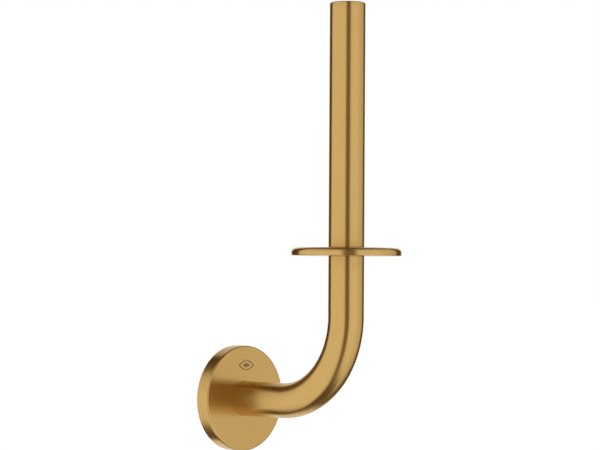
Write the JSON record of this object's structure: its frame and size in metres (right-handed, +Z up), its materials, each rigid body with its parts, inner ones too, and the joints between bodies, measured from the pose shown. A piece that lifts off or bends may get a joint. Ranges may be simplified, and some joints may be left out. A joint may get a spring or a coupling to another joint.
{
  "type": "toilet paper holder",
  "caption": "Wall-mounted upright toilet paper holder: a bent tube arm on a round rosette carries a round plate and a post that takes one roll.",
  "frame": {"origin": "centre of the wall bracket's two screw holes, on the wall plane", "axes": "+Z up along the post, +Y into the wall (the holder projects along -Y), +X to the right of someone facing the wall"},
  "size_m": [0.0556, 0.1072, 0.229],
  "materials": {
    "brushed_brass": "satin brushed, lacquered",
    "raw_brass": "as turned",
    "plated_bracket": "zinc plated",
    "steel_fasteners": "stainless"
  },
  "bodies": {
    "bracket": {"wall_bracket": "plated_bracket"},
    "holder": {"escutcheon": "brushed_brass", "arm_root_screw": "steel_fasteners", "arm_root_washer": "steel_fasteners", "arm_locating_pin": "steel_fasteners", "arm_root_plug": "raw_brass", "arm_tube": "brushed_brass", "arm_top_plug": "raw_brass", "post_stud": "steel_fasteners", "roll_plate": "brushed_brass", "post_base_plug": "raw_brass", "post_tube": "brushed_brass", "post_cap": "brushed_brass"},
    "grub_screw": {"set_screw": "steel_fasteners"}
  },
  "joints": [
    {"name": "holder_pull_off", "type": "slide", "parent": "bracket", "child": "holder", "axis": [0, -1, 0], "range_m": [0, 0.03]},
    {"name": "set_screw_back_out", "type": "slide", "parent": "holder", "child": "grub_screw", "axis": [0, 0, -1], "range_m": [0, 0.002]}
  ]
}
